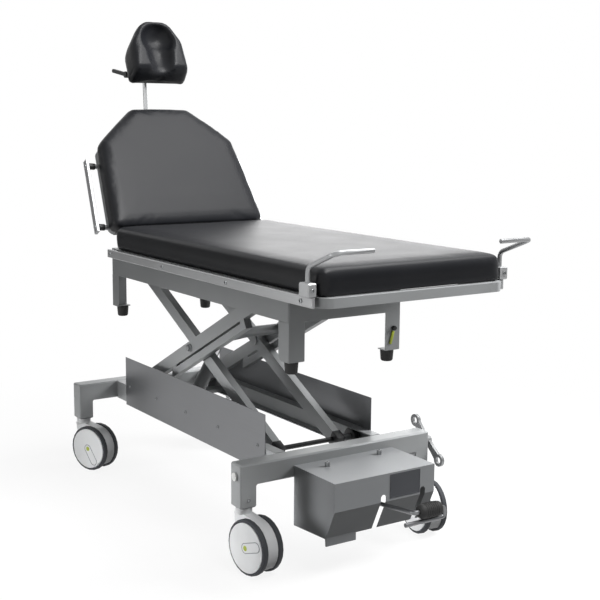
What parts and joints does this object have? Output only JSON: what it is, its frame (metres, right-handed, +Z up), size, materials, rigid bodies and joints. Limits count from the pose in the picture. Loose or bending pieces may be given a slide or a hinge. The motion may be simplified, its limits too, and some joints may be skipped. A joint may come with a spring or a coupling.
{
  "type": "treatment table",
  "caption": "Mobile treatment table with a scissor lift, foot pump, padded seat, tilting backrest, adjustable headrest, side rails, push handles and braked twin-wheel casters.",
  "frame": {"origin": "on the floor below the middle of the overall box", "axes": "+X towards the foot end, +Y to the right as seen from the foot end, +Z up"},
  "size_m": [1.6848, 0.6682, 1.4916],
  "materials": {
    "paint": "silver-grey satin powder coat",
    "steel": "brushed",
    "chrome": "bright",
    "cover": "grey satin",
    "black": "matt black",
    "rubber": "matt black",
    "vinyl": "black leatherette over foam",
    "wheel": "grey tread and pale cover",
    "plastic": "light grey"
  },
  "bodies": {
    "base": {"foot_beam": "paint", "head_beam": "paint", "base_rail_left": "paint", "base_rail_right": "paint", "side_plate_left": "steel", "side_plate_right": "steel", "cylinder_crossbar": "paint", "pump_cover": "cover", "pump_unit": "black"},
    "brake": {"brake_pedal": "chrome"},
    "pedal": {"pump_pedal": "chrome", "pedal_pad": "rubber"},
    "lower_roller_left": {"lower_roller_left": "black"},
    "upper_roller_left": {"upper_roller_left": "black"},
    "lower_roller_right": {"lower_roller_right": "black"},
    "upper_roller_right": {"upper_roller_right": "black"},
    "outer_arms": {"outer_arm_left": "paint", "outer_arm_right": "paint", "outer_cross_tube": "paint"},
    "inner_arms": {"inner_arm_left": "paint", "inner_arm_right": "paint", "inner_cross_rod": "black"},
    "cylinder": {"lift_cylinder": "cover"},
    "piston": {"lift_piston_rod": "chrome"},
    "table_top": {"lift_rail_left": "paint", "lift_rail_right": "paint", "lift_end_foot": "paint", "lift_end_head": "paint", "rubber_foot_foot_left": "rubber", "rubber_foot_foot_right": "rubber", "rubber_foot_head_left": "rubber", "rubber_foot_head_right": "rubber", "seat_frame": "paint", "seat_cushion": "vinyl", "side_rail_left": "steel", "side_rail_right": "steel", "handle_clamp_left": "steel", "handle_clamp_right": "steel"},
    "push_handle_left": {"push_handle_left": "chrome"},
    "push_handle_right": {"push_handle_right": "chrome"},
    "backrest": {"back_frame": "paint", "back_cushion": "vinyl", "back_rail_left": "steel", "back_rail_right": "steel"},
    "headrest_post": {"headrest_post": "chrome"},
    "headrest": {"headrest_bracket": "black", "headrest_cushion": "vinyl"},
    "headrest_lever": {"headrest_lever": "black"},
    "caster_foot_left": {"caster_foot_left_housing": "plastic"},
    "wheel_foot_left_left": {"caster_foot_left_wheel_left": "wheel"},
    "wheel_foot_left_right": {"caster_foot_left_wheel_right": "wheel"},
    "caster_foot_right": {"caster_foot_right_housing": "plastic"},
    "wheel_foot_right_left": {"caster_foot_right_wheel_left": "wheel"},
    "wheel_foot_right_right": {"caster_foot_right_wheel_right": "wheel"},
    "caster_head_left": {"caster_head_left_housing": "plastic"},
    "wheel_head_left_left": {"caster_head_left_wheel_left": "wheel"},
    "wheel_head_left_right": {"caster_head_left_wheel_right": "wheel"},
    "caster_head_right": {"caster_head_right_housing": "plastic"},
    "wheel_head_right_left": {"caster_head_right_wheel_left": "wheel"},
    "wheel_head_right_right": {"caster_head_right_wheel_right": "wheel"}
  },
  "joints": [
    {"name": "lift", "type": "hinge", "parent": "base", "child": "outer_arms", "pos_m": [-0.58154, -0.00493, 0.258], "axis": [0, -1, 0], "range_deg": [-13.9, 8.3]},
    {"name": "scissor_cross", "type": "hinge", "parent": "outer_arms", "child": "inner_arms", "pos_m": [-0.1498, -0.00493, 0.47675], "axis": [0, -1, 0], "range_deg": [-16.8, 28]},
    {"name": "top_level", "type": "hinge", "parent": "inner_arms", "child": "table_top", "pos_m": [-0.58154, -0.00493, 0.6955], "axis": [0, -1, 0], "range_deg": [-14, 8.4]},
    {"name": "cylinder_pivot", "type": "hinge", "parent": "base", "child": "cylinder", "pos_m": [-0.46094, -0.00493, 0.165], "axis": [0, -1, 0], "range_deg": [-14.52, 8.75]},
    {"name": "piston_stroke", "type": "slide", "parent": "cylinder", "child": "piston", "axis": [0.6369, 0, 0.771], "range_m": [-0.0372, 0.0225]},
    {"name": "lower_roller_left_spin", "type": "hinge", "parent": "inner_arms", "child": "lower_roller_left", "pos_m": [0.28195, -0.16393, 0.258], "axis": [0, 1, 0], "continuous": true},
    {"name": "upper_roller_left_spin", "type": "hinge", "parent": "outer_arms", "child": "upper_roller_left", "pos_m": [0.28195, -0.17543, 0.6955], "axis": [0, 1, 0], "continuous": true},
    {"name": "lower_roller_right_spin", "type": "hinge", "parent": "inner_arms", "child": "lower_roller_right", "pos_m": [0.28195, 0.15407, 0.258], "axis": [0, 1, 0], "continuous": true},
    {"name": "upper_roller_right_spin", "type": "hinge", "parent": "outer_arms", "child": "upper_roller_right", "pos_m": [0.28195, 0.16557, 0.6955], "axis": [0, 1, 0], "continuous": true},
    {"name": "push_handle_left_turn", "type": "hinge", "parent": "table_top", "child": "push_handle_left", "pos_m": [0.72446, -0.30543, 0.79], "axis": [0, 0, 1], "range_deg": [0, 90]},
    {"name": "push_handle_right_turn", "type": "hinge", "parent": "table_top", "child": "push_handle_right", "pos_m": [0.72446, 0.29557, 0.79], "axis": [0, 0, 1], "range_deg": [-90, 0]},
    {"name": "backrest_tilt", "type": "hinge", "parent": "table_top", "child": "backrest", "pos_m": [-0.41554, -0.00493, 0.7872], "axis": [0, 1, 0], "range_deg": [-58.5, 6.5]},
    {"name": "headrest_height", "type": "slide", "parent": "backrest", "child": "headrest_post", "axis": [-0.061, 0, 0.9981], "range_m": [-0.05, 0.05]},
    {"name": "headrest_tilt", "type": "hinge", "parent": "headrest_post", "child": "headrest", "pos_m": [-0.73217, -0.00493, 1.315], "axis": [0, 1, 0], "range_deg": [-25, 25]},
    {"name": "headrest_lever_turn", "type": "hinge", "parent": "headrest", "child": "headrest_lever", "pos_m": [-0.73217, -0.06993, 1.315], "axis": [0, 1, 0], "range_deg": [-35, 35]},
    {"name": "brake_turn", "type": "hinge", "parent": "base", "child": "brake", "pos_m": [0.41846, -0.00493, 0.252], "axis": [0, 1, 0], "range_deg": [-30, 30]},
    {"name": "pedal_press", "type": "hinge", "parent": "base", "child": "pedal", "pos_m": [0.52446, 0.00207, 0.168], "axis": [0, 1, 0], "range_deg": [0, 22], "stiffness_Nm_per_rad": 6, "springref_deg": -28.65},
    {"name": "caster_foot_left_swivel", "type": "hinge", "parent": "base", "child": "caster_foot_left", "pos_m": [0.41846, -0.29493, 0.16], "axis": [0, 0, 1], "continuous": true},
    {"name": "wheel_foot_left_left_roll", "type": "hinge", "parent": "caster_foot_left", "child": "wheel_foot_left_left", "pos_m": [0.46797, -0.28797, 0.075], "axis": [-0.1392, 0.9903, 0], "continuous": true},
    {"name": "wheel_foot_left_right_roll", "type": "hinge", "parent": "caster_foot_left", "child": "wheel_foot_left_right", "pos_m": [0.46797, -0.28797, 0.075], "axis": [-0.1392, 0.9903, 0], "continuous": true},
    {"name": "caster_foot_right_swivel", "type": "hinge", "parent": "base", "child": "caster_foot_right", "pos_m": [0.41846, 0.28507, 0.16], "axis": [0, 0, 1], "continuous": true},
    {"name": "wheel_foot_right_left_roll", "type": "hinge", "parent": "caster_foot_right", "child": "wheel_foot_right_left", "pos_m": [0.46797, 0.27811, 0.075], "axis": [0.1392, 0.9903, 0], "continuous": true},
    {"name": "wheel_foot_right_right_roll", "type": "hinge", "parent": "caster_foot_right", "child": "wheel_foot_right_right", "pos_m": [0.46797, 0.27811, 0.075], "axis": [0.1392, 0.9903, 0], "continuous": true},
    {"name": "caster_head_left_swivel", "type": "hinge", "parent": "base", "child": "caster_head_left", "pos_m": [-0.63704, -0.29493, 0.16], "axis": [0, 0, 1], "continuous": true},
    {"name": "wheel_head_left_left_roll", "type": "hinge", "parent": "caster_head_left", "child": "wheel_head_left_left", "pos_m": [-0.59102, -0.27539, 0.075], "axis": [-0.3907, 0.9205, 0], "continuous": true},
    {"name": "wheel_head_left_right_roll", "type": "hinge", "parent": "caster_head_left", "child": "wheel_head_left_right", "pos_m": [-0.59102, -0.27539, 0.075], "axis": [-0.3907, 0.9205, 0], "continuous": true},
    {"name": "caster_head_right_swivel", "type": "hinge", "parent": "base", "child": "caster_head_right", "pos_m": [-0.63704, 0.28507, 0.16], "axis": [0, 0, 1], "continuous": true},
    {"name": "wheel_head_right_left_roll", "type": "hinge", "parent": "caster_head_right", "child": "wheel_head_right_left", "pos_m": [-0.59102, 0.26554, 0.075], "axis": [0.3907, 0.9205, 0], "continuous": true},
    {"name": "wheel_head_right_right_roll", "type": "hinge", "parent": "caster_head_right", "child": "wheel_head_right_right", "pos_m": [-0.59102, 0.26554, 0.075], "axis": [0.3907, 0.9205, 0], "continuous": true}
  ],
  "couplings": [
    {"joint": "scissor_cross", "follows": "lift", "ratio": -2},
    {"joint": "top_level", "follows": "lift", "ratio": 1},
    {"joint": "cylinder_pivot", "follows": "lift", "ratio": 1.03},
    {"joint": "piston_stroke", "follows": "lift", "m_per_rad": 0.1501}
  ]
}
